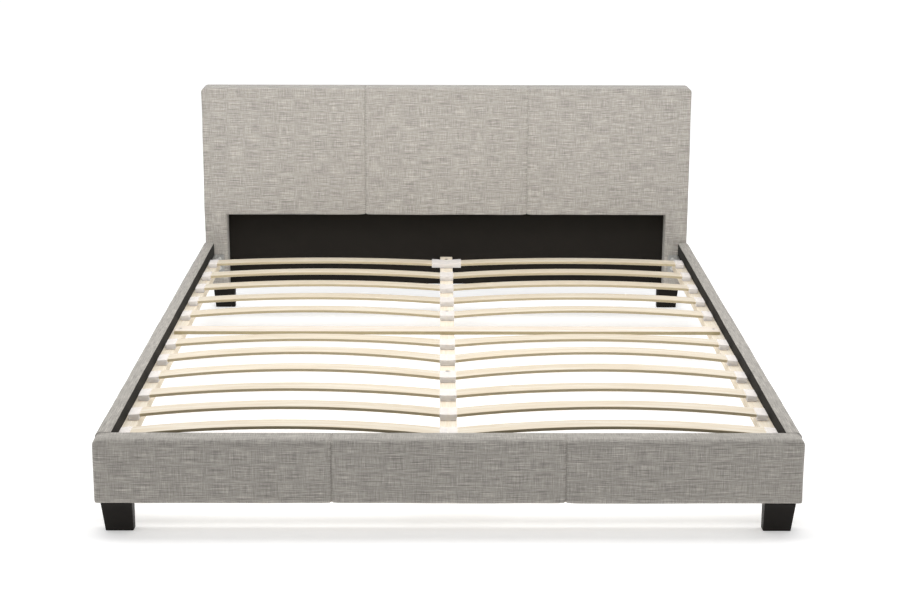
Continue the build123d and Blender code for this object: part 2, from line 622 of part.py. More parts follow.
def make_screws():
    """Long screws hold the ledges; short ones hold the cross bar and the beam brackets."""
    long_planes = []
    short_planes = []
    for side in (-1, 1):
        for y in LEDGE_SCREW_Y:
            seat = (side * (RAIL_INNER - LEDGE_WIDTH + SCREW_SINK), y, LEDGE_SCREW_Z)
            long_planes.append(pointing(seat, (-side, 0, 0)))
        seat = (side * BAR_SCREW_X, BAR_Y, LEDGE_TOP + BAR_THICK - SCREW_SINK)
        short_planes.append(pointing(seat, (0, 0, 1)))
    for z in BEAM_SCREW_Z:
        short_planes.append(pointing((0, PANEL_FRONT - SHELF_THICK, z), (0, -1, 0)))
        short_planes.append(pointing((0, FOOT_INNER + SHELF_THICK, z), (0, 1, 0)))
    with BuildPart() as screws:
        with Locations(*long_planes):
            add(screw_solid(LONG_SCREW - SCREW_SINK))
        with Locations(*short_planes):
            add(screw_solid(SHORT_SCREW - SCREW_SINK))
    write(screws, "wood_screws")


make_headboard_cover()
make_headboard_filling()
make_headboard_frame()
make_side_rails()
make_footboard()
make_feet()
make_ledges()
make_centre_beam()
make_cross_bar()
make_slats()
make_slat_holders()
make_centre_legs()
make_corner_brackets()
make_beam_bracket(PANEL_FRONT, -1, 170, BEAM_BOLTS[1], "head_beam_bracket")
make_beam_bracket(FOOT_INNER, 1, 50, BEAM_BOLTS[0], "foot_beam_bracket")
make_bolts()
make_screws()
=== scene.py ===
import math

import bpy
from mathutils import Matrix, Vector, noise


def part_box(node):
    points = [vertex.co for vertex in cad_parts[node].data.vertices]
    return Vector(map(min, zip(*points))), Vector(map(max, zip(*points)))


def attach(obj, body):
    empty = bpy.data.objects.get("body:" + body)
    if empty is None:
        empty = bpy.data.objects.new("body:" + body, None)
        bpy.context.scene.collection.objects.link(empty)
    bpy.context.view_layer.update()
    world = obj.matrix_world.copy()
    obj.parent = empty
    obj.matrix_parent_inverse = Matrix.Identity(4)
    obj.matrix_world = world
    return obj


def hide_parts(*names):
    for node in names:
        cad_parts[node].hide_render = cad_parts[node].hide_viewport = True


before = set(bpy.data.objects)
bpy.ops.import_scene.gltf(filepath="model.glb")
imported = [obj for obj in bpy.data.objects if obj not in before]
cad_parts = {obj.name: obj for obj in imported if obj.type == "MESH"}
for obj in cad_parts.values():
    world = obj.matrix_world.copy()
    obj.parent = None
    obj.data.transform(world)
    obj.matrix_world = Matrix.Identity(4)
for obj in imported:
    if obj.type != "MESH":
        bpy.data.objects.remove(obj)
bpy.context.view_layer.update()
ROOT = "bed_frame"
SIDES = ("left", "right")

# Metres, in the CAD frame: +Y to the headboard, +Z up, the floor at z = 0.
SEAMS = (-0.268, 0.268)  # where the headboard's and the footboard's covers are sewn across
STITCH_DEPTH, STITCH_WIDTH = 0.0035, 0.0021  # the groove that the stitches pull in
DIP_DEPTH, DIP_WIDTH = 0.0016, 0.014  # the softer hollow around that groove
PUCKER_DEPTH, PUCKER_WIDTH = 0.0009, 0.012  # the creases across a seam
PANEL_SHIFT, PANEL_RISE = 0.37, 0.61 * 0.37  # the weave's jump from one sewn panel to the next
THREAD = 0.0011  # pitch of the fine weave
HEM_PROUD = 0.0008  # how far a turned hem stands off the board's back
LINING_ROLL = 0.0035  # radius at which the rails' black lining rolls over their inner top edge
LINING_LAP = math.radians(78)  # how far round that edge it reaches
LINING_LIFT = 0.0003  # clearance between the lining and what it lies on
SLAT_THICK, SLAT_EASE = 0.008, 0.0016  # a slat's thickness and the radius of its long edges
SLAT_PLIES, BAR_PLY = 3, 0.0028  # layers in a slat, and the thickness of one in the cross bar


# ---- materials --------------------------------------------------------------------------
class Shader:
    """A material built from nodes; keyword values go to its shader's own sockets."""

    def __init__(self, name, **values):
        self.material = bpy.data.materials.new(name)
        self.material.use_nodes = True
        self.tree = self.material.node_tree
        self.surface = self.tree.nodes["Principled BSDF"]
        for key, value in values.items():
            self.put(self.surface, key.replace("_", " "), value)

    def put(self, node, key, value):
        socket = node.inputs[key]
        if isinstance(value, bpy.types.NodeSocket):
            self.tree.links.new(value, socket)
        else:
            socket.default_value = value

    def node(self, kind, inputs=(), **settings):
        made = self.tree.nodes.new("ShaderNode" + kind)
        for key, value in settings.items():
            setattr(made, key, value)
        for key, value in dict(inputs).items():
            self.put(made, key, value)
        return made

    def place(self, source="Object"):
        """Where a texture is read: in the CAD frame's metres, or in a named UV map's."""
        if source == "Object":
            return self.node("TexCoord").outputs["Object"]
        return self.node("UVMap", uv_map=source).outputs["UV"]

    def noise(self, at, scale, detail=2.0, rough=0.5):
        """Noise from 0 to 1, with scale features to the metre on each axis."""
        stretched = self.node("Mapping", {"Vector": at, "Scale": scale}).outputs["Vector"]
        inputs = {"Vector": stretched, "Scale": 1.0, "Detail": detail, "Roughness": rough}
        return self.node("TexNoise", inputs).outputs["Fac"]

    def math(self, operation, a, b=0.0):
        return self.node("Math", {0: a, 1: b}, operation=operation).outputs["Value"]

    def ramp(self, factor, *stops):
        """A colour ramp through (position, value) stops; a value is a grey or a colour."""
        made = self.node("ValToRGB", {"Fac": factor})
        elements = made.color_ramp.elements
        while len(elements) < len(stops):
            elements.new(0.5)
        for element, (position, value) in zip(elements, stops):
            element.position = position
            colour = (value,) * 3 if isinstance(value, (int, float)) else value
            element.color = (*colour, 1)
        return made.outputs["Color"]

    def mix(self, factor, a, b, blend="MIX"):
        made = self.node("Mix", data_type="RGBA", blend_type=blend)
        factor_in, a_in, b_in, colour_out = 0, 6, 7, 2  # this node's colour sockets, by number
        for key, value in ((factor_in, factor), (a_in, a), (b_in, b)):
            self.put(made, key, (*value, 1) if isinstance(value, tuple) else value)
        return made.outputs[colour_out]

    def multiply(self, amount, colour, shade):
        return self.mix(amount, colour, shade, "MULTIPLY")

    def bump(self, height, depth, onto=None):
        inputs = {"Height": height, "Distance": depth, "Strength": 1.0}
        if onto is not None:
            inputs["Normal"] = onto
        return self.node("Bump", inputs).outputs["Normal"]

    def finish(self, colour=None, rough=None, normal=None):
        for key, value in (("Base Color", colour), ("Roughness", rough), ("Normal", normal)):
            if value is not None:
                self.put(self.surface, key, value)
        return self.material


def linen(name, tone):
    """Linen-look weave: crossing threads, with thicker slubs running along and across."""
    s = Shader(name, Sheen_Weight=0.15, Sheen_Roughness=0.5, Specular_IOR_Level=0.15)
    at = s.place("cloth")
    fine = 1 / THREAD
    float_share = 1 / 7  # a thread shows for seven times its width before it dips
    weft = s.noise(at, (fine * float_share, fine, 1), 1.0)
    warp = s.noise(at, (fine, fine * float_share, 1), 1.0)
    slub_weft = s.noise(at, (18, 470, 1), 2.0, 0.7)
    slub_warp = s.noise(at, (470, 24, 1), 2.0, 0.7)
    patch_weft = s.noise(at, (6, 60, 1), 2.0)
    cloudy = s.noise(at, (4, 4, 1), 3.0)
    threads = s.math("ADD", weft, warp)
    across = s.ramp(slub_weft, (0.34, 0.6), (0.45, 0.93), (0.55, 1.0), (0.68, 1.46))
    upward = s.ramp(slub_warp, (0.34, 0.74), (0.45, 0.95), (0.55, 1.0), (0.68, 1.26))
    colour = s.multiply(1.0, tone, across)
    colour = s.multiply(0.9, colour, upward)
    shade = s.ramp(s.math("MULTIPLY", threads, 0.5), (0.3, 0.76), (0.7, 1.0))
    colour = s.multiply(0.6, colour, shade)
    colour = s.multiply(0.6, colour, s.ramp(patch_weft, (0.32, 0.9), (0.62, 1.0)))
    colour = s.multiply(0.3, colour, s.ramp(cloudy, (0.3, 0.92), (0.7, 1.0)))
    normal = s.bump(threads, 0.0004)
    normal = s.bump(s.math("ADD", slub_weft, slub_warp), 0.0007, normal)
    rough = s.ramp(threads, (0.6, 0.95), (1.0, 0.82))
    return s.finish(colour, rough, normal)


def felt(name, tone, fleck):
    """Black non-woven cloth: a felted, slightly dusty surface with a dimpled bond pattern."""
    s = Shader(name, Sheen_Weight=0.03, Sheen_Roughness=0.5, Specular_IOR_Level=0.15)
    at = s.place("cloth")
    fibres = s.noise(at, (700, 500, 1), 3.0, 0.7)
    dust = s.noise(at, (9, 9, 1), 4.0, 0.6)
    bond = s.node("TexVoronoi", {"Vector": at, "Scale": 420.0}).outputs["Distance"]
    colour = s.ramp(fibres, (0.35, tone), (0.7, fleck))
    colour = s.multiply(0.3, colour, s.ramp(dust, (0.35, 0.75), (0.7, 1.0)))
    normal = s.bump(s.math("ADD", fibres, bond), 0.0003)
    return s.finish(colour, s.ramp(fibres, (0.3, 0.92), (0.7, 0.8)), normal)


def timber(name, along, pale, brown):
    """Planed softwood with long grain on the given axis, pores, and a few darker streaks."""
    s = Shader(name, Specular_IOR_Level=0.35)
    at = s.place()

    def stretched(lengthwise, crosswise):
        return tuple(lengthwise if axis == along else crosswise for axis in range(3))

    rings = s.noise(at, stretched(1.3, 55), 3.0, 0.6)
    pores = s.noise(at, stretched(14, 900), 2.0, 0.7)
    patch = s.noise(at, (3, 3, 3), 3.0)
    middle = tuple((a + b) / 2 for a, b in zip(pale, brown))
    colour = s.ramp(rings, (0.3, pale), (0.48, middle), (0.56, pale), (0.72, brown))
    colour = s.multiply(0.45, colour, s.ramp(pores, (0.3, 0.62), (0.55, 1.0)))
    colour = s.multiply(0.35, colour, s.ramp(patch, (0.3, 0.82), (0.7, 1.0)))
    rough = s.ramp(pores, (0.3, 0.75), (0.7, 0.55))
    return s.finish(colour, rough, s.bump(s.math("ADD", pores, rings), 0.00025))


def plywood(name, source, face, core):
    """Sealed birch plywood: figured face veneer, and glued layers shown on the cut edges.

    The grain runs along x. In a UV map there is no third axis, and a second map, "layers",
    holds the depth as a share of the thickness and 1 on a cut edge.
    """
    solid = source == "Object"
    s = Shader(name, Coat_Weight=0.18, Coat_Roughness=0.35, Specular_IOR_Level=0.4)
    at = s.place(source)
    figure = s.noise(at, (2.2, 38, 38 if solid else 0), 4.0, 0.6)
    pores = s.noise(at, (28, 1100, 1100 if solid else 1), 2.0, 0.7)
    patch = s.noise(at, (2, 9, 2), 3.0)
    warm = tuple(c * k for c, k in zip(face, (0.9, 0.84, 0.76)))
    colour = s.ramp(figure, (0.32, face), (0.5, warm), (0.6, face), (0.74, warm))
    colour = s.multiply(0.4, colour, s.ramp(pores, (0.32, 0.7), (0.56, 1.0)))
    colour = s.multiply(0.5, colour, s.ramp(patch, (0.3, 0.86), (0.7, 1.0)))
    if solid:
        facing = s.node("SeparateXYZ", {0: s.node("NewGeometry").outputs["Normal"]})
        cut = s.math("GREATER_THAN", s.math("ABSOLUTE", facing.outputs["Y"]), 0.6)
        depth = s.node("SeparateXYZ", {0: at}).outputs["Z"]
        layer = s.math("MULTIPLY", depth, 1 / BAR_PLY)
    else:
        layers = s.node("SeparateXYZ", {0: s.place("layers")})
        cut = s.math("GREATER_THAN", layers.outputs["Y"], 0.5)
        layer = s.math("MULTIPLY", layers.outputs["X"], SLAT_PLIES)
    from_glue = s.math("PINGPONG", layer, 0.5)
    glue, middle = (tuple(c * share for c in core) for share in (0.5, 0.82))
    edge = s.ramp(from_glue, (0.06, glue), (0.12, core), (0.5, middle))
    edge = s.multiply(0.5, edge, s.ramp(pores, (0.3, 0.75), (0.6, 1.0)))
    colour = s.mix(cut, colour, edge)
    rough = s.ramp(pores, (0.3, 0.6), (0.7, 0.42))
    return s.finish(colour, rough, s.bump(pores, 0.00015))


def milky_plastic(name):
    """Whitish see-through plastic, with a faint painted glow (emission) standing in for the
    light scattered inside it.
    """
    # Emission_Strength and the Emission Color below paint a glow onto the holders; this glow is
    # painted light, not a lamp.
    s = Shader(name, Alpha=0.4, Specular_IOR_Level=0.5, Emission_Strength=0.12)
    at = s.place()
    cloud = s.noise(at, (60, 60, 60), 3.0)
    grain = s.noise(at, (1400, 1400, 1400), 1.0)
    colour = s.ramp(cloud, (0.3, (0.92, 0.9, 0.9)), (0.7, (0.97, 0.95, 0.95)))
    s.put(s.surface, "Emission Color", (1.0, 0.97, 0.98, 1))
    return s.finish(colour, s.ramp(grain, (0.3, 0.5), (0.7, 0.38)), s.bump(grain, 0.00012))


def black_plastic(name, tone):
    """Moulded black plastic: a leathery spark-eroded grain, a little greyer on its edges."""
    s = Shader(name, Specular_IOR_Level=0.18)
    at = s.place()
    cells = s.node("TexVoronoi", {"Vector": at, "Scale": 900.0}).outputs["Distance"]
    scuff = s.noise(at, (40, 40, 90), 5.0, 0.7)
    worn = s.node("NewGeometry").outputs["Pointiness"]
    rubbed, dusty = tuple(c * 1.9 for c in tone), (0.05, 0.046, 0.042)
    edge = s.ramp(worn, (0.5, 0.0), (0.62, 1.0))
    colour = s.ramp(scuff, (0.4, tone), (0.8, rubbed))
    colour = s.mix(s.math("MULTIPLY", edge, 0.25), colour, dusty)
    return s.finish(colour, s.ramp(scuff, (0.3, 0.42), (0.7, 0.6)), s.bump(cells, 0.0002))


def plated(name, tone, blotch, rough):
    """Plated or blackened steel with rolling marks along y and a mottled plate."""
    s = Shader(name, Metallic=0.92)
    at = s.place()
    spangle = s.node("TexVoronoi", {"Vector": at, "Scale": 260.0}).outputs["Color"]
    rolled = s.noise(at, (900, 60, 900), 2.0, 0.6)
    colour = s.mix(0.25, s.ramp(rolled, (0.3, tone), (0.7, blotch)), spangle, "SOFT_LIGHT")
    grey = s.node("RGBToBW", {"Color": colour}).outputs["Val"]
    tinted = s.ramp(grey, (0.0, (0, 0, 0)), (1.0, (1, 1, 0.98)))
    roughness = s.math("ADD", s.math("MULTIPLY", rolled, 0.25), rough)
    return s.finish(tinted, roughness, s.bump(rolled, 0.00008))


FABRIC = linen("linen_weave", (0.435, 0.409, 0.372))
LINING = felt("black_felt", (0.0078, 0.0066, 0.005), (0.019, 0.016, 0.0125))
SLAT = plywood("birch_slat", "grain", (0.80, 0.73, 0.605), (0.60, 0.50, 0.32))
BAR = plywood("birch_bar", "Object", (0.88, 0.81, 0.73), (0.55, 0.46, 0.27))
PINE = ((0.64, 0.49, 0.31), (0.45, 0.30, 0.17))
SOFTWOOD = timber("pine_batten", 1, (0.9, 0.82, 0.69), (0.82, 0.70, 0.52))
UPRIGHT = timber("pine_upright", 2, *PINE)
CROSSWISE = timber("pine_crosswise", 0, *PINE)
HOLDER = milky_plastic("milky_plastic")
FOOT = black_plastic("black_plastic", (0.0062, 0.0046, 0.0032))
ZINC = plated("zinc_plate", (0.36, 0.355, 0.345), (0.52, 0.515, 0.50), 0.3)
BRIGHT = plated("bright_zinc", (0.66, 0.66, 0.64), (0.82, 0.82, 0.80), 0.2)
BLACKENED = plated("blackened_steel", (0.03, 0.03, 0.03), (0.06, 0.06, 0.06), 0.35)


# ---- meshes -----------------------------------------------------------------------------
def piece(name, points, faces, material, replaces):
    """A smooth-shaded mesh that rides on the bed and stands for the CAD nodes it replaces."""
    mesh = bpy.data.meshes.new(name)
    mesh.from_pydata([tuple(p) for p in points], [], faces)
    mesh.update()
    mesh.polygons.foreach_set("use_smooth", [True] * len(mesh.polygons))
    mesh.materials.append(material)
    made = bpy.data.objects.new(name, mesh)
    bpy.context.scene.collection.objects.link(made)
    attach(made, ROOT)
    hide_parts(*replaces)
    return made


def ripple(p, waves, depth=1.0, offset=(0, 0, 0)):
    """A smooth uneven height of up to about depth, with so many waves to the metre by axis."""
    return noise.noise(Vector([c * k + o for c, k, o in zip(p, waves, offset)])) * depth


def bell(distance, width):
    """1 at no distance, falling to 0 a few widths away."""
    return math.exp(-((distance / width) ** 2))


def swell(made, height):
    """Moves each point along its normal by height(point)."""
    mesh = made.data
    moved = [v.co + v.normal * height(v.co) for v in mesh.vertices]
    for vertex, place in zip(mesh.vertices, moved):
        vertex.co = place
    mesh.update()


def drape_uv(made, along, through, front, inward, seams=()):
    """Cloth UVs in metres, carried round from the front face onto the sides, top and bottom.

    The weave starts afresh beyond each seam.
    """
    mesh = made.data
    layer = mesh.uv_layers.new(name="cloth")
    for polygon in mesh.polygons:
        normal = polygon.normal
        sideways, rise = abs(normal[along]), abs(normal.z)
        panel = sum(polygon.center.x > seam for seam in seams)
        facing = max(sideways, rise, abs(normal[through]))
        for corner in polygon.loop_indices:
            p = mesh.vertices[mesh.loops[corner].vertex_index].co
            back = (p[through] - front) * inward
            u, v = p[along], p.z
            if facing == sideways:
                u += math.copysign(back, normal[along])
            elif facing == rise:
                v += math.copysign(back, normal.z)
            layer.data[corner].uv = (u + PANEL_SHIFT * panel, v + PANEL_RISE * panel)


def spaced(low, high, seams=(), pitch=0.009):
    """Grid lines from low to high, close together at both ends and beside each seam."""
    away = (0, 0.0008, 0.0018, 0.0032, 0.005, 0.0075, 0.0105, 0.0145)
    lines = {low + a for a in away} | {high - a for a in away}
    for seam in seams:
        lines |= {seam + side * a for a in away for side in (-1, 1)}
    fixed = sorted(lines)
    filled = []
    for a, b in zip(fixed, fixed[1:]):
        steps = max(1, round((b - a) / pitch))
        filled += [a + (b - a) * i / steps for i in range(steps)]
    filled.append(high)
    same = 1e-6  # lines closer than this are one line
    return [x for x, after in zip(filled, filled[1:] + [math.inf]) if after - x > same]


def rounded_corner(x, z, corner_x, corner_z, radius):
    """Moves a point near the corner of a square outline onto a rounded one.

    corner_z may be negative, which turns the rounding to face down.
    """
    sx, sz = (1 if c > 0 else -1 for c in (corner_x, corner_z))
    a = (x - corner_x) * sx + radius
    b = (z - abs(corner_z)) * sz + radius
    if a <= 0 or b <= 0:
        return x, z
    bent_a = a * math.sqrt(1 - (b / radius) ** 2 / 2)
    bent_b = b * math.sqrt(1 - (a / radius) ** 2 / 2)
    return corner_x + sx * (bent_a - radius), abs(corner_z) + sz * (bent_b - radius)


def upholstered_board(name, boxes, corners, front, back, roll, hem, replaces):
    """Padded cloth over an upright board made of overlapping boxes (x0, x1, z0, z1).

    The front rolls over by roll at its outline, runs back to the board's back, and turns in by
    hem there. corners are (x, z, radius); a negative z rounds a lower corner.
    """
    xs = sorted({c for b in boxes for c in b[:2]})
    zs = sorted({c for b in boxes for c in b[2:]})
    columns = spaced(xs[0], xs[-1], xs[1:-1] + list(SEAMS))
    rows = spaced(zs[0], zs[-1], zs[1:-1])

    def inside(x, z):
        return max(min(x - b[0], b[1] - x, z - b[2], b[3] - z) for b in boxes)

    points, index, faces = [], {}, []

    def vertex(key, x, y, z):
        if key not in index:
            for corner in corners:
                x, z = rounded_corner(x, z, *corner)
            index[key] = len(points)
            points.append((x, y, z))
        return index[key]

    def on_front(i, j):
        x, z = columns[i], rows[j]
        left = 1 - min(1, max(0, inside(x, z)) / roll)
        return vertex((i, j), x, front + roll * (1 - math.sqrt(max(0, 1 - left**2))), z)

    filled = {
        (i, j)
        for i in range(len(columns) - 1)
        for j in range(len(rows) - 1)
        if inside((columns[i] + columns[i + 1]) / 2, (rows[j] + rows[j + 1]) / 2) > 0
    }
    for i, j in sorted(filled):
        faces.append([on_front(*k) for k in ((i, j), (i + 1, j), (i + 1, j + 1), (i, j + 1))])
    start = front + roll
    steps = max(2, round((back - start) / 0.008))
    depths = [start + (back - start) * k / steps for k in range(steps + 1)]
    # Each side of a grid cell: the step to the cell beyond it, then the side's two ends.
    sides = (
        ((0, -1), (0, 0), (1, 0)),
        ((1, 0), (1, 0), (1, 1)),
        ((0, 1), (1, 1), (0, 1)),
        ((-1, 0), (0, 1), (0, 0)),
    )
    for i, j in sorted(filled):
        for (di, dj), first, second in sides:
            if (i + di, j + dj) in filled:
                continue
            runs = []
            for ci, cj in ((i + first[0], j + first[1]), (i + second[0], j + second[1])):
                x, z = columns[ci], rows[cj]
                run = [on_front(ci, cj)]
                run += [vertex((ci, cj, k), x, depths[k], z) for k in range(1, steps + 1)]
                turned = (x - di * hem, back + HEM_PROUD, z - dj * hem)
                run.append(vertex((ci, cj, "hem", di, dj), *turned))
                runs.append(run)
            for k in range(len(runs[0]) - 1):
                faces.append([runs[0][k + 1], runs[1][k + 1], runs[1][k], runs[0][k]])
    made = piece(name, points, faces, FABRIC, replaces)
    sunk = 0.0004  # how far the padding lies inside its outline on average
    flatten_over, least = 0.01, 0.15  # the unevenness fades to this share towards the back

    def height(p):
        lump = ripple(p, (5, 9, 7), 0.0011) + ripple(p, (21, 21, 21), 0.0004, (3, 0, 0))
        for seam in SEAMS:
            off = abs(p.x - seam)
            pucker = ripple((seam, p.z, p.y), (9, 60, 60), PUCKER_DEPTH)
            lump += pucker * bell(off, PUCKER_WIDTH)
            lump -= STITCH_DEPTH * bell(off, STITCH_WIDTH)
            lump -= DIP_DEPTH * bell(off, DIP_WIDTH)
        padded = min(1, max(0, (back - p.y) / flatten_over))
        return (lump - sunk) * (least + (1 - least) * padded)

    swell(made, height)
    drape_uv(made, 0, 1, front, 1, SEAMS)
    return made


def upholstered_rail(side, name):
    """Padded cloth over a side rail: inner top edge, top, outer face, and turned under."""
    low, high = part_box(f"{name}_rail_cover")
    inner, outer = sorted((abs(low.x), abs(high.x)))
    top, bottom = high.z, low.z
    edge_r, shoulder, under = 0.004, 0.012, 0.006  # radii at the inner top, outer top and bottom
    profile = [(inner + 0.006, top - 0.006), (inner + 0.003, top - 0.003)]  # under the lining

    def arc(cx, cz, radius, start, end, steps=7):
        for k in range(steps + 1):
            turn = math.radians(start + (end - start) * k / steps)
            profile.append((cx + radius * math.cos(turn), cz + radius * math.sin(turn)))

    arc(inner + LINING_ROLL, top - edge_r, edge_r, 120, 90)
    arc(outer - shoulder, top - shoulder, shoulder, 90, 0)
    bands = 10
    for k in range(1, bands):
        z = top - shoulder + (bottom + under - top + shoulder) * k / bands
        profile.append((outer, z))
    arc(outer - under, bottom + under, under, 0, -90)
    profile += [(inner + 0.018, bottom), (inner + 0.001, bottom)]
    profile += [(inner + 0.0008, bottom + 0.0018), (inner + 0.006, bottom + 0.002)]
    stations = spaced(low.y, high.y, pitch=0.012)
    middle = ((inner + outer) / 2, (top + bottom) / 2)
    end_size = 0.35  # the cloth over a rail's end closes in to this share of its outline
    sizes = (end_size, *[1] * len(stations), end_size)
    points = [
        (side * (middle[0] + (x - middle[0]) * size), y, middle[1] + (z - middle[1]) * size)
        for size, y in zip(sizes, [stations[0], *stations, stations[-1]])
        for x, z in profile
    ]
    count = len(profile)
    faces = []
    for first in range(0, (len(sizes) - 1) * count, count):
        for k in range(first, first + count - 1):
            quad = [k, k + 1, k + 1 + count, k + count]
            faces.append(quad if side < 0 else quad[::-1])
    replaces = [f"{name}_rail_cover"]
    made = piece(f"{name}_rail_upholstery", points, faces, FABRIC, replaces)
    sunk, tuck_depth, tuck_reach, smooth_end = 0.0010, 0.0016, 0.0032, 0.004

    def height(p):
        lump = ripple(p, (8, 4.5, 8), 0.0011) + ripple(p, (30, 18, 30), 0.0004)
        staple_pull = ripple(p, (0, 42, 0), 0.0006, (0, 0, 5))
        lump += staple_pull * math.exp(-(p.z - bottom) / 0.02)
        end = min(p.y - low.y, high.y - p.y)
        tuck = max(0, 1 - end / tuck_reach)
        dip = tuck_depth * (1 - math.sqrt(1 - tuck**2))
        return (lump - sunk) * min(1, end / smooth_end) - dip

    swell(made, height)
    drape_uv(made, 1, 0, side * outer, -side)
    return made


def cloth_sheet(name, node, axis, face, out, inset=0.0, corners=(), roll_top=None):
    """A stretched sheet of lining over a CAD node's face, with stapled pulls along its edges.

    The face is a plane across axis, and out is the side of it that shows. The inset keeps the
    sheet off the node's outline everywhere but at the bottom. With roll_top, the sheet runs on
    past the node and rolls over an edge at that height.
    """
    low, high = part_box(node)
    across, up = [k for k in (0, 1, 2) if k != axis]
    us = spaced(low[across] + inset, high[across] - inset, pitch=0.012)
    top = high[up] - inset
    if roll_top is not None:
        roll_start = roll_top - LINING_ROLL
        top = roll_start + LINING_ROLL * LINING_LAP
    vs = spaced(low[up], top, pitch=0.012)
    slack, pull_reach = 0.0004, 0.035  # depth of the sheet's unevenness, and of a staple's pull
    points = []
    for u in us:
        for v in vs:
            p = Vector((0, 0, 0))
            p[across], p[up] = u, v
            for corner in corners:
                p[across], p[up] = rounded_corner(p[across], p[up], *corner)
            from_ends, from_sides = min(u - us[0], us[-1] - u), min(v - vs[0], vs[-1] - v)
            along_edge = v if from_ends < from_sides else u
            pull = ripple((along_edge, 0, 0), (26, 0, 0), 1, (0, 3.1, axis))
            pull *= math.exp(-min(from_ends, from_sides) / pull_reach)
            wave = ripple((u, v, 0), (6, 9, 0), 1, (0, 0, 1.7))
            p[axis] = face - out * (slack * (1 + 0.9 * pull + 0.5 * wave) + LINING_LIFT)
            if roll_top is not None and v > roll_start:
                turn = (v - roll_start) / LINING_ROLL
                p[axis] -= out * LINING_ROLL * (1 - math.cos(turn))
                p[up] = roll_start + LINING_ROLL * math.sin(turn) + LINING_LIFT
            points.append(p)
    rows = len(vs)
    faces = []
    for i in range(len(us) - 1):
        for j in range(rows - 1):
            quad = [i * rows + j, (i + 1) * rows + j, (i + 1) * rows + j + 1, i * rows + j + 1]
            faces.append(quad)
    made = piece(name, points, faces, LINING, replaces=[node])
    if made.data.polygons[0].normal[axis] * out < 0:
        made.data.flip_normals()
    drape_uv(made, across, axis, face, 1)


def bent_slat(name):
    """A bowed plywood slat with eased edges, its grain and layers mapped along the bend.

    The bow is an arc of a circle whose height and reach come from the slat's CAD node.
    """
    low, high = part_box(name)
    width = high.y - low.y
    crown = (high.z - low.z) - SLAT_THICK
    end_gap = 0.0002  # between a slat's end and its CAD node's
    middle, reach = (low.x + high.x) / 2, (high.x - low.x) / 2 - end_gap
    radius = (reach**2 + crown**2) / (2 * crown)
    half_turn = math.asin(reach / radius)
    centre_y, centre_z = (low.y + high.y) / 2, high.z - SLAT_THICK / 2 - radius
    section, corner_steps = [], 4
    for cy, cz, start in ((1, 1, 90), (1, -1, 0), (-1, -1, -90), (-1, 1, 180)):
        for k in range(corner_steps + 1):
            turn = math.radians(start - 90 * k / corner_steps)
            y = cy * (width / 2 - SLAT_EASE) + SLAT_EASE * math.cos(turn)
            z = cz * (SLAT_THICK / 2 - SLAT_EASE) + SLAT_EASE * math.sin(turn)
            section.append((y, z))
    warp = ripple((low.y, low.x, 0), (7, 3, 0), 0.0004, (0, 0, 0.4))
    steps, end_band, end_ease = 40, 0.998, 0.0006  # each end is eased over its last share
    inner = [-1 + 2 * k / steps for k in range(1, steps)]
    stations = [-1, -end_band, *inner, end_band, 1]
    points, flat = [], []
    for t in stations:
        turn = t * half_turn
        pinch = end_ease if abs(t) == 1 else 0
        for y, z in section:
            r = radius + z * (1 - pinch / (SLAT_THICK / 2)) + warp * math.sin(3 * t) * y / width
            y_in = y * (1 - pinch / (width / 2))
            across, up = r * math.sin(turn), r * math.cos(turn)
            points.append((middle + across, centre_y + y_in, centre_z + up))
            flat.append((radius * turn, y, z))
    count, faces = len(section), []
    last = (len(stations) - 1) * count
    for first in range(0, last, count):
        for k in range(count):
            n = (k + 1) % count
            faces.append([first + k, first + n, first + count + n, first + count + k])
    faces += [list(range(count))[::-1], list(range(last, last + count))]
    made = piece(name.replace("slat", "bent_slat"), points, faces, SLAT, [name])
    if made.data.polygons[0].normal.z < 0:
        made.data.flip_normals()
    grain = made.data.uv_layers.new(name="grain")
    layers = made.data.uv_layers.new(name="layers")
    shift = low.y * 3.7 + (1.9 if low.x > 0 else 0)  # no two slats are cut from one spot
    for polygon in made.data.polygons:
        is_end = len(polygon.vertices) > 4
        cut = 1.0 if is_end or abs(polygon.normal.y) > 0.7 else 0.0
        for corner in polygon.loop_indices:
            along, y, z = flat[made.data.loops[corner].vertex_index]
            grain.data[corner].uv = (along + shift, y + z + 5 * shift)
            layers.data[corner].uv = (z / SLAT_THICK + 0.5, cut)


# ---- upholstery -------------------------------------------------------------------------
def dress_headboard():
    low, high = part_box("headboard_cover")
    cover_lap = 0.005  # the cover's legs reach this far over the panel's ends
    panel_low, panel_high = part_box("headboard_black_panel")
    recess = panel_high.x - cover_lap
    cover_thick = 0.003
    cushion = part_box("headboard_foam")[0].z - cover_thick
    boxes = [(low.x, high.x, cushion, high.z)]
    boxes += [(low.x, -recess, low.z, high.z), (recess, high.x, low.z, high.z)]
    top_corner, lining_corner = 0.016, 0.012
    corners = [(side * high.x, high.z, top_corner) for side in (-1, 1)]
    board = upholstered_board(
        "headboard_cushion", boxes, corners, low.y, high.y, roll=0.0075, hem=0.012,
        replaces=["headboard_cover", "headboard_foam"],
    )
    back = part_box("headboard_back_lining")[1]
    inset = 0.008
    turned = [(side * (back.x - inset), back.z - inset, lining_corner) for side in (-1, 1)]
    cloth_sheet("headboard_back_cloth", "headboard_back_lining", 1, back.y, 1,
                inset, turned)
    cloth_sheet("headboard_recess_cloth", "headboard_black_panel", 1, panel_low.y, -1)


def dress_footboard():
    low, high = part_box("footboard_cover")
    boxes = [(low.x, high.x, low.z, high.z)]
    top_corner, bottom_corner = 0.017, 0.008
    corners = [(side * high.x, high.z, top_corner) for side in (-1, 1)]
    corners += [(side * high.x, -low.z, bottom_corner) for side in (-1, 1)]
    board = upholstered_board(
        "footboard_cushion", boxes, corners, low.y, high.y, roll=0.0145, hem=0.0085,
        replaces=["footboard_cover"],
    )
    cloth_sheet("footboard_inner_cloth", "footboard_lining", 1, high.y, 1)


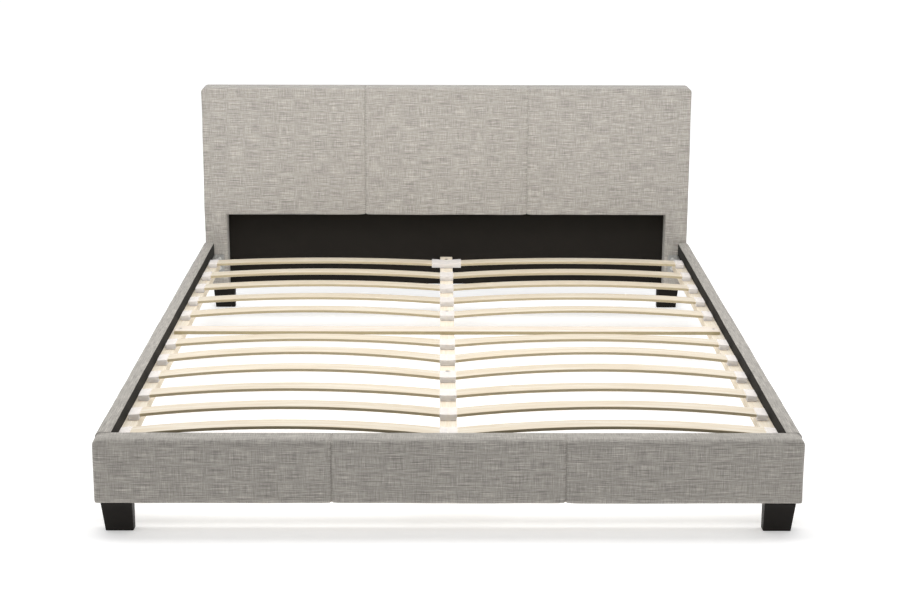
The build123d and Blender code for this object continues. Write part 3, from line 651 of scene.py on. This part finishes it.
def dress_rails():
    for side, name in zip((-1, 1), SIDES):
        rail = upholstered_rail(side, name)
        low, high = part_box(f"{name}_rail_lining")
        face = high.x if side < 0 else low.x
        cloth_sheet(f"{name}_rail_inner_cloth", f"{name}_rail_lining", 0, face, -side,
                    roll_top=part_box(f"{name}_rail_cover")[1].z)


def paint(material, *nodes):
    """Gives CAD nodes whose shape is right their material."""
    for node in nodes:
        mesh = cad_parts[node].data
        mesh.materials.clear()
        mesh.materials.append(material)


dress_headboard()
dress_footboard()
dress_rails()
for node_name in sorted(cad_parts):
    if "_slat_" in node_name and node_name[-2:].isdigit():
        bent_slat(node_name)

paint(SOFTWOOD, "centre_beam")
paint(UPRIGHT, "foot_end_centre_leg", "head_end_centre_leg")
paint(CROSSWISE, "headboard_cross_rails", "footboard_core", "headboard_front_board")
paint(BAR, "cross_bar")
paint(HOLDER, "centre_slat_holders")
paint(FOOT, "foot_end_levelling_foot", "head_end_levelling_foot")
for side_name in SIDES:
    paint(SOFTWOOD, f"{side_name}_slat_ledge", f"{side_name}_rail_core")
    paint(UPRIGHT, f"{side_name}_headboard_post")
    paint(HOLDER, f"{side_name}_slat_holders")
    paint(FOOT, f"{side_name}_front_foot", f"{side_name}_rear_foot")
paint(ZINC, "corner_brackets", "head_beam_bracket", "foot_beam_bracket")
paint(BRIGHT, "bracket_bolts", "wood_screws")
paint(BLACKENED, "frame_bolts")


# ---- stage, lights, camera --------------------------------------------------------------
def make_floor():
    """A pale floor whose own faint glow stands for light from all round a white studio."""
    s = Shader("pale_floor", Specular_IOR_Level=0.2, Emission_Strength=0.32)
    mottle = s.noise(s.place(), (1.5, 1.5, 1.5), 2.0)
    tint = s.ramp(mottle, (0.3, 0.93), (0.7, 0.95))
    s.put(s.surface, "Emission Color", tint)
    s.finish(tint, 0.9)
    mesh = bpy.data.meshes.new("floor")
    far = 30
    corners = [(-far, -far, 0), (far, -far, 0), (far, far, 0), (-far, far, 0)]
    mesh.from_pydata(corners, [], [(0, 1, 2, 3)])
    mesh.materials.append(s.material)
    floor = bpy.data.objects.new("floor", mesh)
    bpy.context.scene.collection.objects.link(floor)


def make_light(name, place, target, size, power, spread=180):
    """A soft box aimed at target; a small spread, in degrees, keeps its light in a beam."""
    lamp = bpy.data.lights.new(name, "AREA")
    lamp.spread = math.radians(spread)
    lamp.shape, lamp.size, lamp.size_y, lamp.energy = "RECTANGLE", *size, power
    light = bpy.data.objects.new(name, lamp)
    light.location = place
    light.rotation_euler = (Vector(target) - Vector(place)).to_track_quat("-Z", "Y").to_euler()
    bpy.context.scene.collection.objects.link(light)


def make_world(from_front, from_back):
    """White surroundings, dimmer from the foot's side than from above and behind."""
    world = bpy.data.worlds.new("studio")
    world.use_nodes = True
    nodes, links = world.node_tree.nodes, world.node_tree.links
    background = nodes["Background"]
    background.inputs["Color"].default_value = (1, 1, 1, 1)
    direction = nodes.new("ShaderNodeTexCoord").outputs["Generated"]
    parts = nodes.new("ShaderNodeSeparateXYZ")
    fade = nodes.new("ShaderNodeMapRange")
    fade.inputs["From Min"].default_value = -1
    fade.inputs["From Max"].default_value = 0.6
    fade.inputs["To Min"].default_value = from_front
    fade.inputs["To Max"].default_value = from_back
    links.new(direction, parts.inputs[0])
    links.new(parts.outputs["Y"], fade.inputs["Value"])
    links.new(fade.outputs["Result"], background.inputs["Strength"])
    bpy.context.scene.world = world


def make_camera():
    """The fitted camera: in front of the footboard, a little left, looking down at the bed."""
    data = bpy.data.cameras.new("camera")
    data.sensor_width, data.lens = 36, 75.57
    data.shift_x, data.shift_y = 0.0006, 0.0011
    data.clip_start, data.clip_end = 0.05, 200
    camera = bpy.data.objects.new("camera", data)
    place = (-0.0201, -5.1664, 1.5724)
    pitch, yaw, roll = 0.2454, 0.0051, 0.0026
    turn = Matrix.Rotation(-yaw, 4, "Z") @ Matrix.Rotation(math.pi / 2 - pitch, 4, "X")
    camera.matrix_world = Matrix.Translation(place) @ turn @ Matrix.Rotation(roll, 4, "Z")
    bpy.context.scene.collection.objects.link(camera)
    bpy.context.scene.camera = camera


make_floor()
make_world(from_front=0.22, from_back=1.15)
make_light("overhead", place=(-0.1, -0.55, 2.1), target=(0, 1.0, 0.2), size=(2.6, 0.9), power=36)
make_light("headboard_fill", place=(0, -2.5, 1.8), target=(0, 1.0, 0.55), size=(2.0, 0.7),
           power=1.0, spread=14)
make_camera()
bpy.context.scene.view_settings.view_transform = "Standard"
